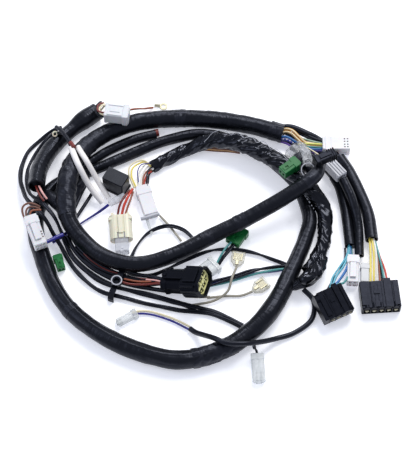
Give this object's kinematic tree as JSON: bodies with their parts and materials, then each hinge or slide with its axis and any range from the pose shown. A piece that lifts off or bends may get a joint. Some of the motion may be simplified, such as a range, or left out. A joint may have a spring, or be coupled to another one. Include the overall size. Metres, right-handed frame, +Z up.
{
  "type": "wiring harness",
  "caption": "Motorcycle wiring harness laid in a loose coil: sleeved branches and thin leads between moulded connector housings, a relay and terminals.",
  "frame": {"origin": "middle of the laid coil's box, at the surface it lies on", "axes": "+X along the coil's longer side, from the housing bound to the upper left branch towards the five-way housing; +Y across the coil, from the lower sleeved branch towards the upper one; +Z up off the surface it lies on"},
  "size_m": [0.3233, 0.2748, 0.0428],
  "materials": {
    "pvc_sleeve": "satin",
    "vinyl_film": "gloss",
    "white_sleeve": "satin",
    "black_cable": "satin",
    "wire_cream": "satin",
    "wire_grey": "satin",
    "wire_blue": "satin",
    "wire_brown": "satin",
    "wire_red": "satin",
    "natural_nylon": "satin",
    "grey_nylon": "satin",
    "black_pbt": "satin",
    "green_nylon": "gloss",
    "cream_nylon": "satin",
    "yellow_insert": "satin",
    "clear_vinyl": "clear gloss",
    "tinned_brass": "tinned"
  },
  "bodies": {
    "root": {"main_trunk": "pvc_sleeve", "lower_trunk": "pvc_sleeve", "left_branch_tube": "pvc_sleeve", "middle_branch": "pvc_sleeve", "right_branch_tube": "pvc_sleeve", "twin_branch_a": "pvc_sleeve", "twin_branch_b": "pvc_sleeve", "film_wrapped_branch": "vinyl_film", "white_sleeve_a": "white_sleeve", "white_sleeve_b": "white_sleeve", "outer_lead_a": "black_cable", "outer_lead_b": "black_cable", "arch_lead": "black_cable", "six_way_lead": "black_cable", "loop_lead": "black_cable", "side_lead": "black_cable", "bottom_wire": "black_cable", "two_pin_wires": "wire_cream", "central_wires": "wire_cream", "five_way_wires": "wire_cream", "coil_lead": "wire_grey", "spade_wire_a": "wire_grey", "spade_wire_b": "wire_grey", "grey_wire": "wire_grey", "blue_lead": "wire_blue", "four_way_wires": "wire_blue", "green_wires": "wire_blue", "long_block_wires": "wire_blue", "eyelet_wire": "wire_brown", "top_block_wires": "wire_brown", "left_block_wires": "wire_brown", "cream_wires": "wire_red", "top_white_housing": "natural_nylon", "long_white_housing": "natural_nylon", "right_white_housing": "natural_nylon", "central_white_housing": "natural_nylon", "left_white_housing": "natural_nylon", "shaded_housing": "grey_nylon", "grey_ribbed_housing": "grey_nylon", "flat_black_housing": "black_pbt", "five_way_housing": "black_pbt", "four_way_housing": "black_pbt", "relay": "black_pbt", "six_way_housing": "black_pbt", "tie_clip": "black_pbt", "upper_green_housing": "green_nylon", "left_green_housing": "green_nylon", "centre_green_housing": "green_nylon", "cream_housing": "cream_nylon", "six_way_insert": "yellow_insert", "cream_plug": "clear_vinyl", "clear_grey_housing": "clear_vinyl", "clear_two_pin_housing": "clear_vinyl", "clear_bottom_housing": "clear_vinyl", "spade_sleeve_a": "clear_vinyl", "spade_sleeve_b": "clear_vinyl", "crimp_sleeve": "clear_vinyl", "clear_boot": "clear_vinyl", "eyelet": "tinned_brass"}
  },
  "joints": []
}
